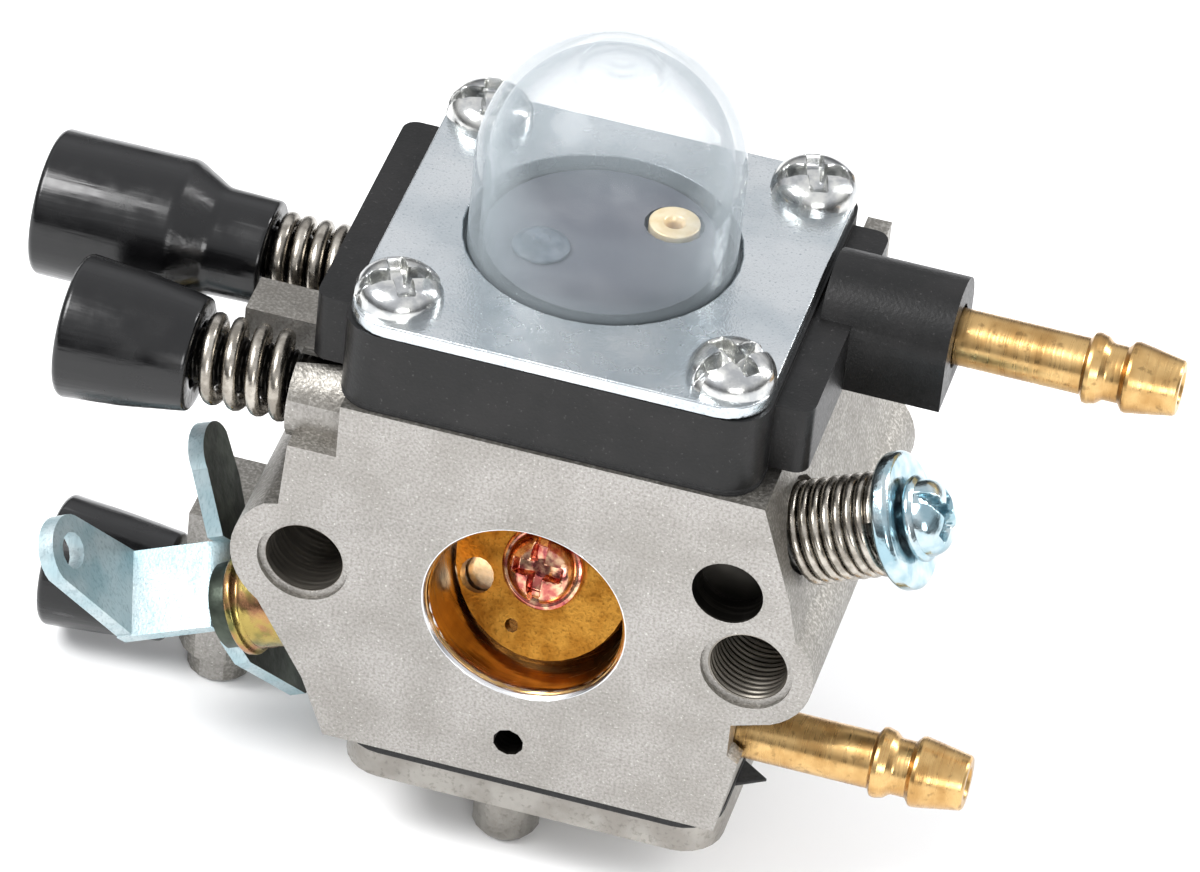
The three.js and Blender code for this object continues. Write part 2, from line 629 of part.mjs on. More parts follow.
piece('body_casting', bodyCasting(), castAlloy(), carburetor);
piece('metering_gasket', stackSheet(BODY_TOP, CHAMBER.x, CHAMBER.y, CHAMBER.r), rubber(), carburetor);
piece('metering_diaphragm', stackSheet(BODY_TOP + SHEET, CHAMBER.x, CHAMBER.y, 1.6), rubber(), carburetor);
piece('diaphragm_button', diaphragmButton(), zinc(), carburetor);
piece('metering_lever', meteringLever(), zinc(), carburetor);
piece('metering_lever_pin', rod(0.5, at(PIN_X, 10.6, PIN_Z), Y, 9.3, COARSE), steel(), carburetor);
piece('lever_pin_screw', pinScrew(), zinc(), carburetor);
const leverSpring = coil(1.05, 0.18, 2.4, 4, at(LEVER_SPRING_X, CHAMBER.y, 8.75), Z);
piece('metering_spring', leverSpring, steel(), carburetor);
piece('inlet_needle', inletNeedle(), steel(), carburetor);
piece('main_nozzle', mainNozzle(), brass(), carburetor);

piece('purge_base', purgeBase(), blackPlastic(), carburetor);
piece('cover_plate', coverPlate(), zinc(), carburetor);
piece('primer_bulb', primerBulb(), finish(0xe8eef0, 0.15, 0), carburetor);
const outletSeat = ring(0.55, OUTLET.r, at(OUTLET.x, OUTLET.y, 18.3), Z, 2.7, MEDIUM);
piece('outlet_valve_seat', outletSeat, brass(), carburetor);
const checkProfile = [[0, 18.3], [0.9, 18.3], [0.9, 21], [CHECK.r, 21], [1.6, 21.5], [0, 21.7]];
piece('purge_check_valve', turned(checkProfile, at(CHECK.x, CHECK.y, 0), Z, MEDIUM), rubber(), carburetor);
screwPlaces.forEach(([x, y], index) => {
  piece(`cover_screw_${index + 1}`, crossHeadScrew(x, y, PLATE_TOP, Z, 12), zinc(), carburetor);
});
piece('return_fitting', barbedFitting(FITTING, 8.5), brass(), carburetor);
piece('inlet_fitting', barbedFitting(INLET, 6), brass(), carburetor);

piece('pump_gasket', pumpSheet(BODY_LOW - SHEET, false), rubber(), carburetor);
piece('pump_diaphragm', pumpSheet(PUMP_LOW, true), rubber(), carburetor);
piece('pump_cover', pumpCover(), castAlloy(), carburetor);
const pumpScrew = crossHeadScrew(PUMP_SCREW.x, PUMP_SCREW.y, COVER_LOW, at(0, 0, -1), 8);
piece('pump_cover_screw', pumpScrew, zinc(), carburetor);
piece('inlet_screen', rod(2.5, at(8.5, 12.5, BODY_LOW + 0.4), Z, 0.5, MEDIUM), steel(), carburetor);

const springLength = (capEnd) => NEEDLE_FACE_X - 0.6 - capEnd - 0.6;
const needles = [
  { name: 'low_speed', y: FRONT_NEEDLE_Y, tip: -14.3, capEnd: -24.9 },
  { name: 'high_speed', y: REAR_NEEDLE_Y, tip: -11.7, capEnd: -23.7 },
];
for (const { name, y, tip, capEnd } of needles) {
  piece(`${name}_needle`, adjustingStem(capEnd - 6, tip, y, NEEDLE_Z), steel(), carburetor);
  const cap = name === 'low_speed'
    ? taperedCap(capEnd - 9, capEnd, y, NEEDLE_Z, 4.95, 3.9)
    : longCap(capEnd - LONG_CAP, y, NEEDLE_Z);
  piece(`${name}_cap`, cap, blackPlastic(), carburetor);
  const springStart = at(capEnd + 0.6, y, NEEDLE_Z);
  const spring = coil(NEEDLE_SPRING_R, NEEDLE_WIRE_R, springLength(capEnd), 4, springStart, X);
  piece(`${name}_spring`, spring, steel(), carburetor);
}
piece('idle_screw', adjustingStem(-34.2, IDLE.tip, IDLE.y, IDLE.z), steel(), carburetor);
piece('idle_cap', taperedCap(-37, -28.25, IDLE.y, IDLE.z, 4.7, 3.9), blackPlastic(), carburetor);

const throttle = new THREE.Group();
throttle.position.copy(at(0, SHAFT_Y, 0));
throttle.rotation.y = -SHAFT_TILT;
carburetor.add(throttle);
piece('throttle_shaft', throttleShaft(), zinc(), throttle);
piece('throttle_plate', throttlePlate(), brass(), throttle);
piece('throttle_plate_screw', throttlePlateScrew(), finish(0xb0705a, 0.25, 0.95), throttle);
piece('throttle_lever', throttleLever(), zinc(), throttle);
const collarBore = SHAFT_R + GAP;
const collarProfile = [[collarBore, 0], [3.6, 0], [3.6, 0.7], [3.25, 0.7], [3.25, 5.1], [collarBore, 5.1],
  [collarBore, 0]];
piece('shaft_collar', turned(collarProfile, at(-22.9, 0, 0), X, FINE), brass(), throttle);
piece('return_spring', coil(3.15, 0.33, 4.9, 7, at(19.1, 0, 0), X), steel(), throttle);
piece('spring_disc', springDisc(), zinc(), throttle);
piece('disc_screw', discScrew(), zinc(), throttle);

export default carburetor;
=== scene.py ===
"""A small two-stroke diaphragm carburettor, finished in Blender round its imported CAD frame.

Metres in the frame's own axes; sizes below are written in millimetres and turned with MM.
"""
import json
import math

import bmesh
import bpy
import numpy as np
from mathutils import Matrix, Vector

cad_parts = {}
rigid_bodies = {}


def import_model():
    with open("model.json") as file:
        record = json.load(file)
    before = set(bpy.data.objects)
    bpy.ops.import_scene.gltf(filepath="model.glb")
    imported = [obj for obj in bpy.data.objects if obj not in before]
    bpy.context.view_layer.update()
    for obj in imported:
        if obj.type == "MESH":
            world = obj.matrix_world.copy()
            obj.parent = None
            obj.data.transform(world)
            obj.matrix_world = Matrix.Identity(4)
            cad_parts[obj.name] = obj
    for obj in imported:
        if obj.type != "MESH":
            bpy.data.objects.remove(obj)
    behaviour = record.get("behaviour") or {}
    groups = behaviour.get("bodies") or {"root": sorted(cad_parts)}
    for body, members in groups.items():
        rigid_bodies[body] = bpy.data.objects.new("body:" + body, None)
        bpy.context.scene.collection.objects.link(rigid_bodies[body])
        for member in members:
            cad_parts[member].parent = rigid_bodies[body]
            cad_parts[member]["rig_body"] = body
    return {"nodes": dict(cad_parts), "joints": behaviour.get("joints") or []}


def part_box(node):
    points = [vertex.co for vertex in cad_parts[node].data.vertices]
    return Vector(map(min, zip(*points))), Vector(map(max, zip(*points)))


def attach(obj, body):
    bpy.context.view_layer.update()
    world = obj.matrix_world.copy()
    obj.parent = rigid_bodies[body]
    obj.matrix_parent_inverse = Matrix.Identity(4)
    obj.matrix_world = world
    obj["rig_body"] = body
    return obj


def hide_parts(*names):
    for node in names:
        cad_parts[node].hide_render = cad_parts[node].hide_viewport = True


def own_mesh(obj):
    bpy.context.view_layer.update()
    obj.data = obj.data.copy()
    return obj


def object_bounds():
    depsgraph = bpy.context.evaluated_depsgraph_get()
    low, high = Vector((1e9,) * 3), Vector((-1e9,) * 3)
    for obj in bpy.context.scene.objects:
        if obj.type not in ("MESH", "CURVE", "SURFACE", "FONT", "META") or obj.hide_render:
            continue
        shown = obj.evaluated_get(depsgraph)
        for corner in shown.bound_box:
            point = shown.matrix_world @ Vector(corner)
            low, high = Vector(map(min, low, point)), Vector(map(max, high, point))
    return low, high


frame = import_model()
cad_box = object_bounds()

MM = 0.001
JOINTS = {joint["name"]: joint for joint in frame["joints"]}

# ---- places and sizes, in millimetres ----
SHAFT_CENTRE = np.array(JOINTS["throttle_turn"]["pos_m"]) / MM
SHAFT_AXIS = -np.array(JOINTS["throttle_turn"]["axis"])
PLATE_TILT = math.radians(26)   # of the throttle plate from square across the bore
PLATE_SCREW_FACE = 0.5          # from the shaft's middle to the flat that the plate screw sits on
X_AXIS = np.array([1.0, 0.0, 0.0])
Y_AXIS = np.array([0.0, 1.0, 0.0])
Z_AXIS = np.array([0.0, 0.0, 1.0])
COVER_SCREW_HEAD_R = 3.0
COVER_SCREW_HEAD_H = 2.0
SCREW_SHANK_R = 1.5
SCREW_PITCH = 0.7
SCREW_THREAD_DEPTH = 0.25
HEAD_GRID = 110                 # points along each side of the grid that a screw head is pressed from
CROSS_REACH = 0.7               # of a head's radius
CROSS_ARM = 0.18
BULB_FLOOR_Z = 20.7             # the coated floor under the bulb lies above this, within this radius
BULB_FLOOR_R = 9.0
BULB_R = 9.1
BULB_WALL = 0.8
BULB_FLANGE_H = 0.9
NUB_RING_R = 2.9                # the groove round the bulb's nub
NUB_DIP = 0.3
SHEET_FRONT = 4.0               # forward of this the pump's sheets stand proud of their cover
SHEET_PROUD = 0.5
NEEDLE_WIRE_R = 0.53
NEEDLE_SPRING_TURNS = 3.8
RETURN_WIRE_R = 0.36
MOUNT_X = 15.5
MOUNT_HOLE_R = 2.74
MOUNT_HOLE_FROM = 0.42          # behind the engine face, clear of the hole's broken edge
HOLE_SKIN = 0.1                 # thickness of the skin that lines a mounting hole
BORE_FINISH_R = 6.9             # the coated wall lies within this radius
MOUTH_FINISH_R = 8.5            # the bright chamfer lies within this one
LEVER_OUTER_S = -24.3           # along the shaft, inside the thickness of the lever's plate
# Drillings in the casting: x and z of each, how far its finish reaches, and which finish it is (4 and 5
# paint shade inside the holes).
DRILLED_HOLES = [(MOUNT_X, 0, 3.0, 4), (-MOUNT_X, 0, 3.0, 4), (13.6, 6.1, 2.6, 5), (-0.15, -11.2, 1.2, 5)]


def box_mm(node):
    """A CAD node's box: its low and high corners in millimetres."""
    low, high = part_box(node)
    return np.array(low) / MM, np.array(high) / MM


def middle_mm(node):
    """The middle of a CAD node's box in millimetres."""
    low, high = box_mm(node)
    return (low + high) / 2


# ---- materials ----
def linear(hex_colour):
    """sRGB hex to linear: below 0.04045 a twelfth or so of the value, above it a power of 2.4."""
    parts = [int(hex_colour[i:i + 2], 16) / 255 for i in (0, 2, 4)]
    return tuple(p / 12.92 if p <= 0.04045 else ((p + 0.055) / 1.055) ** 2.4 for p in parts) + (1.0,)


def add(tree, kind, inputs=None, output=0, **settings):
    """Adds a node with its settings; inputs take a socket, a number or a hex colour. Gives an output."""
    node = tree.nodes.new("ShaderNode" + kind)
    for key, value in settings.items():
        setattr(node, key, value)
    for key, value in (inputs or {}).items():
        if isinstance(value, bpy.types.NodeSocket):
            tree.links.new(value, node.inputs[key])
        else:
            node.inputs[key].default_value = linear(value) if isinstance(value, str) else value
    return node.outputs[output]


EVEN = (1, 1, 1)
ROUND_Y = (0.05, 1, 0.05)       # lines that run round the bore
ROUND_X = (1, 0.05, 0.05)       # lines that run round a piece lying along X
ALONG_X = (0.06, 1, 1)


def surface(name, base, layers=(), rough=(1.0, EVEN, 0.3, 0.4), relief=(), ring=None, **sockets):
    """A Principled material built up from noise patterns on Object coordinates.

    Each layer is (size in mm, stretch, start, full, share, colour): where the pattern passes from
    start to full, that share of the colour covers what is below. rough is (size, stretch, low, high)
    and each relief is (size, stretch, depth in mm). ring is the radius in mm of a scribed circle
    round the bore.
    """
    material = bpy.data.materials.new(name)
    material.use_nodes = True
    tree = material.node_tree
    shader = tree.nodes["Principled BSDF"]
    for key, value in sockets.items():
        shader.inputs[key.replace("_", " ")].default_value = value
    place = add(tree, "TexCoord", output=3)
    tone = base
    for size, stretch, start, full, share, colour in layers:
        spread = add(tree, "Mapping", {"Vector": place, "Scale": stretch})
        cloud = add(tree, "TexNoise", {"Vector": spread, "Scale": 1 / (size * MM), "Detail": 3.0})
        reach = {"Value": cloud, "From Min": start, "From Max": full, "To Max": share}
        amount = add(tree, "MapRange", reach)
        tone = add(tree, "Mix", {0: amount, 6: tone, 7: colour}, 2, data_type="RGBA")
    if layers:
        tree.links.new(tone, shader.inputs["Base Color"])
    else:
        shader.inputs["Base Color"].default_value = linear(base)
    size, stretch, low, high = rough
    spread = add(tree, "Mapping", {"Vector": place, "Scale": stretch})
    cloud = add(tree, "TexNoise", {"Vector": spread, "Scale": 1 / (size * MM), "Detail": 3.0})
    span = {"Value": cloud, "From Min": 0.3, "From Max": 0.7, "To Min": low, "To Max": high}
    tree.links.new(add(tree, "MapRange", span), shader.inputs["Roughness"])
    normal = None
    for size, stretch, depth in relief:
        spread = add(tree, "Mapping", {"Vector": place, "Scale": stretch})
        cloud = add(tree, "TexNoise", {"Vector": spread, "Scale": 1 / (size * MM), "Detail": 2.0})
        bump = {"Height": cloud, "Distance": depth * MM}
        if normal:
            bump["Normal"] = normal
        normal = add(tree, "Bump", bump)
    if ring:
        flat = add(tree, "VectorMath", {0: place, 1: (1, 0, 1)}, operation="MULTIPLY")
        reach = add(tree, "VectorMath", {0: flat}, 1, operation="LENGTH")
        line = add(tree, "Math", {0: reach, 1: ring * MM, 2: 0.06 * MM}, operation="COMPARE")
        normal = add(tree, "Bump", {"Height": line, "Distance": -0.03 * MM, "Normal": normal})
    if normal:
        tree.links.new(normal, shader.inputs["Normal"])
    return material


# Bead-blasted die casting: pale warm grey, matt, with fine dark pits and a few bright grains.
CAST = surface("bead_blasted_die_cast_aluminium", "9f9c97",
               [(5.0, EVEN, 0.38, 0.62, 1.0, "adaaa6"), (0.2, EVEN, 0.42, 0.68, 0.6, "7b7772"),
                (0.22, EVEN, 0.62, 0.72, 0.6, "dedcd7")],
               (0.25, EVEN, 0.42, 0.6), [(0.22, EVEN, 0.045), (1.2, EVEN, 0.06)], 7.75, Metallic=0.9)
# The skin as it left the die: coarser crystals that catch the light one by one.
CAST_SKIN = surface("as_cast_aluminium_skin", "85827c",
                    [(0.22, EVEN, 0.45, 0.66, 0.8, "b4b1ab"), (4.0, EVEN, 0.42, 0.66, 0.5, "6f6b65")],
                    (0.3, EVEN, 0.36, 0.56), [(0.22, EVEN, 0.05), (1.6, EVEN, 0.09)], Metallic=0.9)
# The pump cover's casting is greyer and smoother.
COVER_CAST = surface("tumbled_die_cast_aluminium", "8b8781",
                     [(3.0, EVEN, 0.4, 0.62, 0.8, "a3a09a"), (0.35, EVEN, 0.55, 0.7, 0.5, "6c6862")],
                     (0.4, EVEN, 0.34, 0.5), [(0.35, EVEN, 0.05)], Metallic=0.9)
# Reamed wall under a yellow conversion coat: brown gold, with rings from the reamer.
BORE_WALL = surface("reamed_conversion_coated_bore", "8c6c44",
                    [(3.2, (1, 0.3, 1), 0.4, 0.62, 1.0, "c8a470"), (0.3, ROUND_Y, 0.5, 0.75, 0.5, "5a4026")],
                    (0.3, ROUND_Y, 0.12, 0.3), [(0.25, ROUND_Y, 0.015)], Metallic=1.0)
# Fresh cut on the bore's chamfer: near white with fine turning lines.
BRIGHT = surface("bright_turned_aluminium", "cfd0d2", [(0.2, ROUND_Y, 0.4, 0.7, 0.6, "f4f4f5")],
                 (0.2, ROUND_Y, 0.14, 0.3), [(0.2, ROUND_Y, 0.015)], Metallic=1.0)
# Drilled holes: the same alloy painted darker for the shade inside them, with bright drill rings.
BORE_PAINTED_SHADE = surface("drilled_aluminium_painted_shade", "7d7870", [(0.35, ROUND_Y, 0.48, 0.7, 0.8, "b5afa5")],
                     (0.3, ROUND_Y, 0.3, 0.5), [(0.3, ROUND_Y, 0.03)], Metallic=0.9)
# A deep drilling: the same wall painted nearly black for the shade deep inside it.
DEEP_HOLE_PAINTED_SHADE = surface("deep_drilling_painted_shade", "24221f", [(0.35, ROUND_Y, 0.5, 0.7, 0.7, "4a4742")],
                   (0.3, ROUND_Y, 0.3, 0.46), [(0.3, ROUND_Y, 0.03)], Metallic=0.9)
# Blue-passivated zinc on pressed sheet: a cool mirror broken by soft mottling and grains.
ZINC = surface("blue_passivated_zinc_sheet", "bfc6ca",
               [(6.0, EVEN, 0.38, 0.62, 1.0, "d3d7d9"), (0.2, EVEN, 0.58, 0.72, 0.5, "8a959c")],
               (1.4, EVEN, 0.2, 0.3), [(0.2, EVEN, 0.02), (5.0, EVEN, 0.1)], Metallic=1.0)
# Bright zinc on headed screws: smooth, neutral, nearly a mirror.
ZINC_SCREW = surface("bright_zinc_screw", "b0b2b3", [(1.2, EVEN, 0.4, 0.62, 1.0, "d8d8d4")],
                     (0.9, EVEN, 0.16, 0.26), [(0.7, EVEN, 0.02)], Metallic=1.0)
# Thick blue passivate on the washer and its screw: zinc with a clear cyan cast.
BLUE_ZINC = surface("thick_blue_passivated_zinc", "92aeb8", [(1.6, EVEN, 0.4, 0.62, 1.0, "bccace")],
                    (0.7, EVEN, 0.12, 0.26), [(0.5, EVEN, 0.03)], Metallic=1.0)
# Sheared and folded zinc sheet: cyan white with brushed lines across the strip.
LEVER_ZINC = surface("brushed_zinc_lever", "a2b9bf",
                     [(3.0, EVEN, 0.4, 0.62, 1.0, "bcc9cc"),
                      (0.16, (1, 1, 0.05), 0.5, 0.68, 0.5, "7d9299")],
                     (0.2, (1, 1, 0.06), 0.4, 0.56), [(0.16, (1, 1, 0.05), 0.03)], Metallic=0.7)
# Zinc painted dark green grey for shade: on the lever's inner side and the shaft's neck.
SHADE_PAINTED_ZINC = surface("zinc_painted_shade", "30362f", [(2.0, EVEN, 0.42, 0.66, 0.8, "525a50")],
                     (0.8, EVEN, 0.3, 0.46), [(0.4, EVEN, 0.02)], Metallic=0.85)
# Yellow passivate on the collar: olive drifting to gold and pink.
YELLOW_ZINC = surface("yellow_passivated_zinc", "66663e",
                      [(3.0, EVEN, 0.4, 0.52, 1.0, "a49152"), (2.0, EVEN, 0.5, 0.64, 0.8, "a8745a")],
                      (0.5, EVEN, 0.18, 0.32), [(0.4, EVEN, 0.015)], Metallic=1.0)
# Turned free-cutting brass: golden, with lathe rings and brown tarnish.
BRASS = surface("turned_brass", "cda971",
                [(2.0, EVEN, 0.42, 0.64, 1.0, "b18a55"), (0.6, EVEN, 0.6, 0.7, 0.5, "6e5636")],
                (0.22, ROUND_X, 0.22, 0.36), [(0.22, ROUND_X, 0.015)], Metallic=1.0)
# Tumbled brass sheet: satin amber with a sandy grain and brown mottling.
SHEET_BRASS = surface("tumbled_brass_sheet", "b0772c",
                      [(1.6, EVEN, 0.42, 0.62, 1.0, "cf9640"), (0.22, EVEN, 0.52, 0.7, 0.55, "6d4517")],
                      (0.2, EVEN, 0.34, 0.5), [(0.22, EVEN, 0.03)], Metallic=1.0)
# Copper flash on the plate screw: a rose mirror that drifts to gold.
COPPER = surface("copper_flashed_screw", "b3625a",
                 [(0.9, EVEN, 0.42, 0.6, 1.0, "eec09a"), (0.7, EVEN, 0.58, 0.68, 0.7, "7c3040")],
                 (0.5, EVEN, 0.1, 0.24), [(0.5, EVEN, 0.02)], Metallic=1.0)
# Drawn spring steel: warm grey with a soft sheen.
WIRE = surface("drawn_spring_steel", "8b857c", [(1.2, EVEN, 0.42, 0.62, 1.0, "b9b3a9")],
               (0.5, EVEN, 0.18, 0.32), [(0.3, EVEN, 0.01)], Metallic=1.0)
# Blackened thread under oil: near black, bright only on its crests.
DARK_THREAD = surface("blackened_steel_thread", "1b1a18", [(0.6, EVEN, 0.45, 0.66, 0.7, "45413b")],
                      (0.5, EVEN, 0.22, 0.4), [(0.3, EVEN, 0.01)], Metallic=0.8)
# Glass-filled nylon, moulded satin: charcoal with a dry fine grain and faint flow clouds.
NYLON = surface("glass_filled_nylon", "121212",
                [(3.5, EVEN, 0.42, 0.64, 0.8, "1b1a1a"), (0.25, EVEN, 0.66, 0.74, 0.4, "504e4e")],
                (0.3, EVEN, 0.34, 0.46), [(0.25, EVEN, 0.02)], IOR=1.5, Specular_IOR_Level=0.28)
# Moulded acetal caps: black gloss, a few dull scuffs and faint draw lines along them.
CAP_PLASTIC = surface("moulded_acetal", "0a0a0b", [(1.0, ALONG_X, 0.68, 0.76, 0.25, "6a6a6a")],
                      (1.6, EVEN, 0.14, 0.3), [(0.4, ALONG_X, 0.02)], IOR=1.48)
# Rubber-coated fabric sheet: dead black.
GASKET = surface("coated_gasket_sheet", "0d0d0e", [(0.3, EVEN, 0.5, 0.7, 0.6, "1e1e1f")],
                 (0.4, EVEN, 0.6, 0.8), [(0.3, EVEN, 0.02)], IOR=1.5)
# Coated floor under the bulb: flat blue grey with slow clouds.
FLOOR_GREY = surface("grey_coated_floor", "4d4f58", [(6.0, EVEN, 0.4, 0.62, 1.0, "63646b")],
                     (2.0, EVEN, 0.3, 0.44), [(0.8, EVEN, 0.01)], IOR=1.5)
# Moulded fluoro rubber: soft slate grey.
RUBBER = surface("moulded_grey_rubber", "3f4852", [(1.0, EVEN, 0.4, 0.62, 1.0, "5b646f")],
                 (0.8, EVEN, 0.32, 0.46), [(0.4, EVEN, 0.01)], IOR=1.45)
# Lapped valve seat: pale creamy brass.
CREAM = surface("lapped_pale_brass", "ecd3a2", [(1.2, EVEN, 0.4, 0.62, 1.0, "f8e6c0")],
                (0.6, EVEN, 0.3, 0.42), [(0.3, EVEN, 0.01)], Metallic=0.4)


def clear_vinyl():
    """Clear plasticised vinyl, blow moulded: milky at its edges and where it meets the plate."""
    material = surface("blow_moulded_clear_vinyl", "a3acb1", rough=(3.0, EVEN, 0.08, 0.16),
                       relief=[(4.0, EVEN, 0.12)], IOR=1.45, Specular_IOR_Level=0.4)
    tree = material.node_tree
    shader = tree.nodes["Principled BSDF"]
    edge = add(tree, "LayerWeight", {"Blend": 0.4}, 1)
    veil = add(tree, "MapRange", {"Value": edge, "From Min": 0.12, "To Min": 0.07, "To Max": 0.85})
    height = add(tree, "SeparateXYZ", {0: add(tree, "TexCoord", output=3)}, 2)
    foot = {"Value": height, "From Min": 0.0212, "From Max": 0.0236, "To Min": 0.3, "To Max": 0.0}
    crown = {"Value": height, "From Min": 0.027, "From Max": 0.036, "To Min": 0.0, "To Max": 0.26}
    milk = add(tree, "Math", {0: add(tree, "MapRange", foot), 1: add(tree, "MapRange", crown)})
    tree.links.new(add(tree, "Math", {0: veil, 1: milk}, operation="MAXIMUM"), shader.inputs["Alpha"])
    return material


CLEAR = clear_vinyl()


# ---- making pieces ----
def belongs(piece, node):
    """A piece stands for a CAD node: it rides on its body and the node is hidden."""
    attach(piece, frame["nodes"][node]["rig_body"])
    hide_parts(node)


def finished(piece, node, material):
    """Gives a new piece its one material and puts it in its CAD node's place."""
    piece.data.materials.append(material)
    belongs(piece, node)
    return piece


def lining(piece, material, node="body_casting"):
    """A thin skin on a CAD node's surface; the node itself is stood for by another piece."""
    piece.data.materials.append(material)
    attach(piece, frame["nodes"][node]["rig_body"])


def piece_from(name, points, wrap_rows=False):
    """A closed skin over a grid of points in millimetres: each four neighbours make one face.

    Columns run round and join up. Rows that shrink to one point close the ends; wrap_rows joins the
    last row to the first.
    """
    rows, columns = points.shape[:2]
    row = np.arange(rows if wrap_rows else rows - 1)[:, None]
    column = np.arange(columns)[None, :]
    next_row = (row + 1) % rows
    next_column = (column + 1) % columns
    faces = np.stack([row * columns + column, row * columns + next_column,
                      next_row * columns + next_column, next_row * columns + column], -1)
    mesh = bpy.data.meshes.new(name)
    mesh.from_pydata((points.reshape(-1, 3) * MM).tolist(), [], faces.reshape(-1, 4).tolist())
    cleaned(mesh)
    return shown(name, mesh)


def cleaned(mesh, flatten=False):
    """Merges doubled points, turns the faces outwards and, if asked, joins flat neighbours."""
    work = bmesh.new()
    work.from_mesh(mesh)
    bmesh.ops.remove_doubles(work, verts=work.verts, dist=0.004 * MM)
    bmesh.ops.dissolve_degenerate(work, edges=work.edges, dist=0.001 * MM)
    if flatten:
        bmesh.ops.dissolve_limit(work, angle_limit=math.radians(1), verts=work.verts, edges=work.edges)
    bmesh.ops.recalc_face_normals(work, faces=work.faces)
    work.to_mesh(mesh)
    work.free()


def shown(name, mesh, sharp=40):
    """Links a mesh as an object at the origin, smooth but for edges sharper than an angle."""
    mesh.shade_smooth()
    mesh.set_sharp_from_angle(angle=math.radians(sharp))
    piece = bpy.data.objects.new(name, mesh)
    bpy.context.scene.collection.objects.link(piece)
    return piece


def basis(axis):
    """Three unit rows: two across an axis, and the axis itself."""
    axis = np.asarray(axis, float) / np.linalg.norm(axis)
    helper = Z_AXIS if abs(axis[2]) < 0.9 else X_AXIS
    across = np.cross(helper, axis)
    across /= np.linalg.norm(across)
    return np.stack([across, np.cross(axis, across), axis])


def rounded(profile, radius):
    """Replaces each inner corner of a profile by a quadratic curve between points on its two sides."""
    profile = np.array(profile, float)
    out = [profile[0]]
    for before, corner, after in zip(profile[:-2], profile[1:-1], profile[2:]):
        back = before - corner
        on = after - corner
        reach = min(radius, np.linalg.norm(back) * 0.45, np.linalg.norm(on) * 0.45)
        start = corner + back / np.linalg.norm(back) * reach
        end = corner + on / np.linalg.norm(on) * reach
        for t in np.linspace(0, 1, 5):
            out.append((1 - t) ** 2 * start + 2 * t * (1 - t) * corner + t ** 2 * end)
    out.append(profile[-1])
    return np.array(out)


def turned(name, profile, origin, axis, radius=0.15, sides=96, closed=False):
    """A profile of (radius, height) pairs carried round an axis, corners rounded.

    Point = origin + r (cos a, sin a) across the axis + h along it.
    """
    profile = rounded(profile, radius)
    if closed:
        profile = profile[:-1]
    across, other, along = basis(axis)
    angle = np.linspace(0, 2 * np.pi, sides, endpoint=False)
    r = profile[:, 0][:, None, None]
    h = profile[:, 1][:, None, None]
    round_axis = np.cos(angle)[None, :, None] * across + np.sin(angle)[None, :, None] * other
    return piece_from(name, np.asarray(origin) + r * round_axis + h * along, wrap_rows=closed)


def coil(name, coil_r, wire_r, length, turns, origin, axis, ground=0.75, leg=0.0):
    """A helix of round wire whose pace along its axis falls to a quarter over the end turns.

    The wire's centre is coil_r (cos a, sin a) across the axis, and its rise is the running sum of
    that pace. ground is how many turns the pace takes to pick up. A leg, if any, runs on straight
    from the first turn.
    """
    sides = 12
    leg_steps = 10
    steps = int(turns * 44)
    t = np.linspace(0, 1, steps)
    turn = t * turns
    pace = np.clip(np.minimum(turn, turns - turn) / ground, 0, 1)
    pace = 0.25 + 0.75 * pace * pace * (3 - 2 * pace)
    rise = np.concatenate([[0], np.cumsum((pace[1:] + pace[:-1]) / 2)])
    rise *= (length - 2 * wire_r) / rise[-1]
    across, other, along = basis(axis)
    angle = 2 * np.pi * turn
    radial = np.cos(angle)[:, None] * across + np.sin(angle)[:, None] * other
    centre = np.asarray(origin) + coil_r * radial + (rise + wire_r)[:, None] * along
    if leg:
        away = -(np.sin(angle[0]) * -across + np.cos(angle[0]) * other)
        lead = centre[0] + np.linspace(leg, 0.3, leg_steps)[:, None] * away
        centre = np.concatenate([lead, centre])
        radial = np.concatenate([np.repeat(radial[:1], leg_steps, axis=0), radial])
    heading = np.gradient(centre, axis=0)
    heading /= np.linalg.norm(heading, axis=1)[:, None]
    binormal = np.cross(heading, radial)
    binormal /= np.linalg.norm(binormal, axis=1)[:, None]
    phi = np.linspace(0, 2 * np.pi, sides, endpoint=False)[None, :, None]
    skin = centre[:, None] + wire_r * (np.cos(phi) * radial[:, None] + np.sin(phi) * binormal[:, None])
    first = np.repeat(centre[:1, None], sides, axis=1)
    last = np.repeat(centre[-1:, None], sides, axis=1)
    return piece_from(name, np.concatenate([first, skin, last]))


def threaded(name, profile, thread, pitch, depth, origin, axis, sides=64):
    """A turned stem whose radius dips by a helical groove between two heights.

    r(h, a) = r0(h) - depth (1 + cos(2 pi (h / pitch) - a)) / 2 inside the thread's span.
    """
    heights = np.arange(thread[0], thread[1], pitch / 8)
    profile = np.array(profile, float)
    h = np.unique(np.concatenate([profile[:, 1], heights]))
    r = np.interp(h, profile[:, 1], profile[:, 0])
    inside = ((h > thread[0]) & (h < thread[1]))[:, None]
    across, other, along = basis(axis)
    angle = np.linspace(0, 2 * np.pi, sides, endpoint=False)[None, :]
    groove = depth * (1 + np.cos(2 * np.pi * h[:, None] / pitch - angle)) / 2
    radius = r[:, None] - groove * inside
    ring = np.cos(angle)[..., None] * across + np.sin(angle)[..., None] * other
    skin = np.asarray(origin) + radius[..., None] * ring + h[:, None, None] * along
    first = np.repeat((np.asarray(origin) + h[0] * along)[None, None], sides, axis=1)
    last = np.repeat((np.asarray(origin) + h[-1] * along)[None, None], sides, axis=1)
    return piece_from(name, np.concatenate([first, skin, last]))


def smooth_step(edge0, edge1, value):
    """Nought before the first edge, one past the second, and three t squared less two t cubed between."""
    t = np.clip((value - edge0) / (edge1 - edge0), 0, 1)
    return t * t * (3 - 2 * t)


